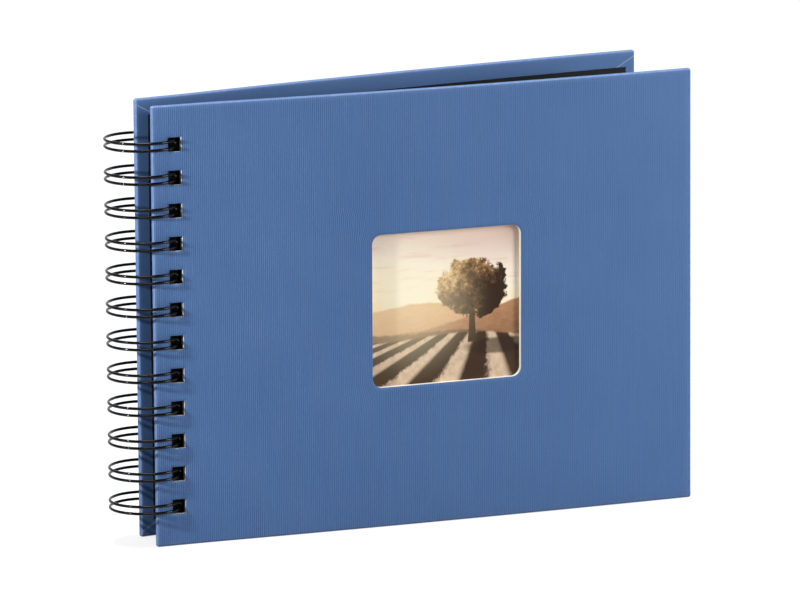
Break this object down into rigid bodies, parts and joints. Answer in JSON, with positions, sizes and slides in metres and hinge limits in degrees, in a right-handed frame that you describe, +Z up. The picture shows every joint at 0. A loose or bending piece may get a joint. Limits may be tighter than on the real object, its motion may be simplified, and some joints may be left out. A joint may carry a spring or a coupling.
{
  "type": "wire-bound scrapbook album",
  "caption": "Landscape scrapbook album with paper-wrapped covers, a picture window in the front cover, black card leaves and a double-loop wire binding, standing slightly open.",
  "frame": {"origin": "on the table, under the middle of the album's bounding box as it stands with its covers slightly apart", "axes": "+Z up along the spine, +X from the rings towards the free edges, +Y from the front cover towards the rear cover; the front cover's outer face looks along -Y"},
  "size_m": [0.2366, 0.0555, 0.17],
  "materials": {
    "blue_covering_paper": "linen-embossed, matte",
    "cream_board": "matte cut board",
    "black_lining_card": "matte",
    "black_leaf_card": "matte card",
    "picture_print": "satin print",
    "black_coated_wire": "gloss black coating"
  },
  "bodies": {
    "binding": {"wire_binding": "black_coated_wire"},
    "front_cover": {"front_cover_paper": "blue_covering_paper", "front_cover_board": "cream_board", "front_cover_lining": "black_lining_card", "cover_print": "picture_print"},
    "rear_cover": {"rear_cover_paper": "blue_covering_paper", "rear_cover_board": "cream_board", "rear_cover_lining": "black_lining_card"},
    "leaf_01": {"leaf_01": "black_leaf_card"},
    "leaf_02": {"leaf_02": "black_leaf_card"},
    "leaf_03": {"leaf_03": "black_leaf_card"},
    "leaf_04": {"leaf_04": "black_leaf_card"},
    "leaf_05": {"leaf_05": "black_leaf_card"},
    "leaf_06": {"leaf_06": "black_leaf_card"},
    "leaf_07": {"leaf_07": "black_leaf_card"},
    "leaf_08": {"leaf_08": "black_leaf_card"},
    "leaf_09": {"leaf_09": "black_leaf_card"},
    "leaf_10": {"leaf_10": "black_leaf_card"},
    "leaf_11": {"leaf_11": "black_leaf_card"},
    "leaf_12": {"leaf_12": "black_leaf_card"},
    "leaf_13": {"leaf_13": "black_leaf_card"},
    "leaf_14": {"leaf_14": "black_leaf_card"},
    "leaf_15": {"leaf_15": "black_leaf_card"},
    "leaf_16": {"leaf_16": "black_leaf_card"},
    "leaf_17": {"leaf_17": "black_leaf_card"},
    "leaf_18": {"leaf_18": "black_leaf_card"},
    "leaf_19": {"leaf_19": "black_leaf_card"},
    "leaf_20": {"leaf_20": "black_leaf_card"}
  },
  "joints": [
    {"name": "front_cover_hinge", "type": "hinge", "parent": "binding", "child": "front_cover", "pos_m": [-0.10391, -0.01337, 0.085], "axis": [0, 0, 1], "range_deg": [-180, 0]},
    {"name": "rear_cover_hinge", "type": "hinge", "parent": "binding", "child": "rear_cover", "pos_m": [-0.09417, -0.00345, 0.085], "axis": [0, 0, 1], "range_deg": [-8.1, 35]},
    {"name": "leaf_01_hinge", "type": "hinge", "parent": "binding", "child": "leaf_01", "pos_m": [-0.10391, -0.01337, 0.085], "axis": [0, 0, 1], "range_deg": [-180, 0]},
    {"name": "leaf_02_hinge", "type": "hinge", "parent": "binding", "child": "leaf_02", "pos_m": [-0.10391, -0.01337, 0.085], "axis": [0, 0, 1], "range_deg": [-180, 0]},
    {"name": "leaf_03_hinge", "type": "hinge", "parent": "binding", "child": "leaf_03", "pos_m": [-0.10391, -0.01337, 0.085], "axis": [0, 0, 1], "range_deg": [-180, 0]},
    {"name": "leaf_04_hinge", "type": "hinge", "parent": "binding", "child": "leaf_04", "pos_m": [-0.10391, -0.01337, 0.085], "axis": [0, 0, 1], "range_deg": [-180, 0]},
    {"name": "leaf_05_hinge", "type": "hinge", "parent": "binding", "child": "leaf_05", "pos_m": [-0.10391, -0.01337, 0.085], "axis": [0, 0, 1], "range_deg": [-180, 0]},
    {"name": "leaf_06_hinge", "type": "hinge", "parent": "binding", "child": "leaf_06", "pos_m": [-0.10391, -0.01337, 0.085], "axis": [0, 0, 1], "range_deg": [-180, 0]},
    {"name": "leaf_07_hinge", "type": "hinge", "parent": "binding", "child": "leaf_07", "pos_m": [-0.10391, -0.01337, 0.085], "axis": [0, 0, 1], "range_deg": [-180, 0]},
    {"name": "leaf_08_hinge", "type": "hinge", "parent": "binding", "child": "leaf_08", "pos_m": [-0.10391, -0.01337, 0.085], "axis": [0, 0, 1], "range_deg": [-180, 0]},
    {"name": "leaf_09_hinge", "type": "hinge", "parent": "binding", "child": "leaf_09", "pos_m": [-0.10391, -0.01337, 0.085], "axis": [0, 0, 1], "range_deg": [-180, 0]},
    {"name": "leaf_10_hinge", "type": "hinge", "parent": "binding", "child": "leaf_10", "pos_m": [-0.10391, -0.01337, 0.085], "axis": [0, 0, 1], "range_deg": [-180, 0]},
    {"name": "leaf_11_hinge", "type": "hinge", "parent": "binding", "child": "leaf_11", "pos_m": [-0.10391, -0.01337, 0.085], "axis": [0, 0, 1], "range_deg": [-180, 0]},
    {"name": "leaf_12_hinge", "type": "hinge", "parent": "binding", "child": "leaf_12", "pos_m": [-0.10391, -0.01337, 0.085], "axis": [0, 0, 1], "range_deg": [-180, 0]},
    {"name": "leaf_13_hinge", "type": "hinge", "parent": "binding", "child": "leaf_13", "pos_m": [-0.10391, -0.01337, 0.085], "axis": [0, 0, 1], "range_deg": [-180, 0]},
    {"name": "leaf_14_hinge", "type": "hinge", "parent": "binding", "child": "leaf_14", "pos_m": [-0.10391, -0.01337, 0.085], "axis": [0, 0, 1], "range_deg": [-180, 0]},
    {"name": "leaf_15_hinge", "type": "hinge", "parent": "binding", "child": "leaf_15", "pos_m": [-0.10391, -0.01337, 0.085], "axis": [0, 0, 1], "range_deg": [-180, 0]},
    {"name": "leaf_16_hinge", "type": "hinge", "parent": "binding", "child": "leaf_16", "pos_m": [-0.10391, -0.01337, 0.085], "axis": [0, 0, 1], "range_deg": [-180, 0]},
    {"name": "leaf_17_hinge", "type": "hinge", "parent": "binding", "child": "leaf_17", "pos_m": [-0.10391, -0.01337, 0.085], "axis": [0, 0, 1], "range_deg": [-180, 0]},
    {"name": "leaf_18_hinge", "type": "hinge", "parent": "binding", "child": "leaf_18", "pos_m": [-0.10391, -0.01337, 0.085], "axis": [0, 0, 1], "range_deg": [-180, 0]},
    {"name": "leaf_19_hinge", "type": "hinge", "parent": "binding", "child": "leaf_19", "pos_m": [-0.10391, -0.01337, 0.085], "axis": [0, 0, 1], "range_deg": [-180, 0]},
    {"name": "leaf_20_hinge", "type": "hinge", "parent": "binding", "child": "leaf_20", "pos_m": [-0.10391, -0.01337, 0.085], "axis": [0, 0, 1], "range_deg": [-180, 0]}
  ],
  "couplings": [
    {"joint": "leaf_01_hinge", "follows": "front_cover_hinge", "ratio": 0.9524},
    {"joint": "leaf_02_hinge", "follows": "front_cover_hinge", "ratio": 0.9048},
    {"joint": "leaf_03_hinge", "follows": "front_cover_hinge", "ratio": 0.8571},
    {"joint": "leaf_04_hinge", "follows": "front_cover_hinge", "ratio": 0.8095},
    {"joint": "leaf_05_hinge", "follows": "front_cover_hinge", "ratio": 0.7619},
    {"joint": "leaf_06_hinge", "follows": "front_cover_hinge", "ratio": 0.7143},
    {"joint": "leaf_07_hinge", "follows": "front_cover_hinge", "ratio": 0.6667},
    {"joint": "leaf_08_hinge", "follows": "front_cover_hinge", "ratio": 0.619},
    {"joint": "leaf_09_hinge", "follows": "front_cover_hinge", "ratio": 0.5714},
    {"joint": "leaf_10_hinge", "follows": "front_cover_hinge", "ratio": 0.5238},
    {"joint": "leaf_11_hinge", "follows": "front_cover_hinge", "ratio": 0.4762},
    {"joint": "leaf_12_hinge", "follows": "front_cover_hinge", "ratio": 0.4286},
    {"joint": "leaf_13_hinge", "follows": "front_cover_hinge", "ratio": 0.381},
    {"joint": "leaf_14_hinge", "follows": "front_cover_hinge", "ratio": 0.3333},
    {"joint": "leaf_15_hinge", "follows": "front_cover_hinge", "ratio": 0.2857},
    {"joint": "leaf_16_hinge", "follows": "front_cover_hinge", "ratio": 0.2381},
    {"joint": "leaf_17_hinge", "follows": "front_cover_hinge", "ratio": 0.1905},
    {"joint": "leaf_18_hinge", "follows": "front_cover_hinge", "ratio": 0.1429},
    {"joint": "leaf_19_hinge", "follows": "front_cover_hinge", "ratio": 0.0952},
    {"joint": "leaf_20_hinge", "follows": "front_cover_hinge", "ratio": 0.0476}
  ]
}
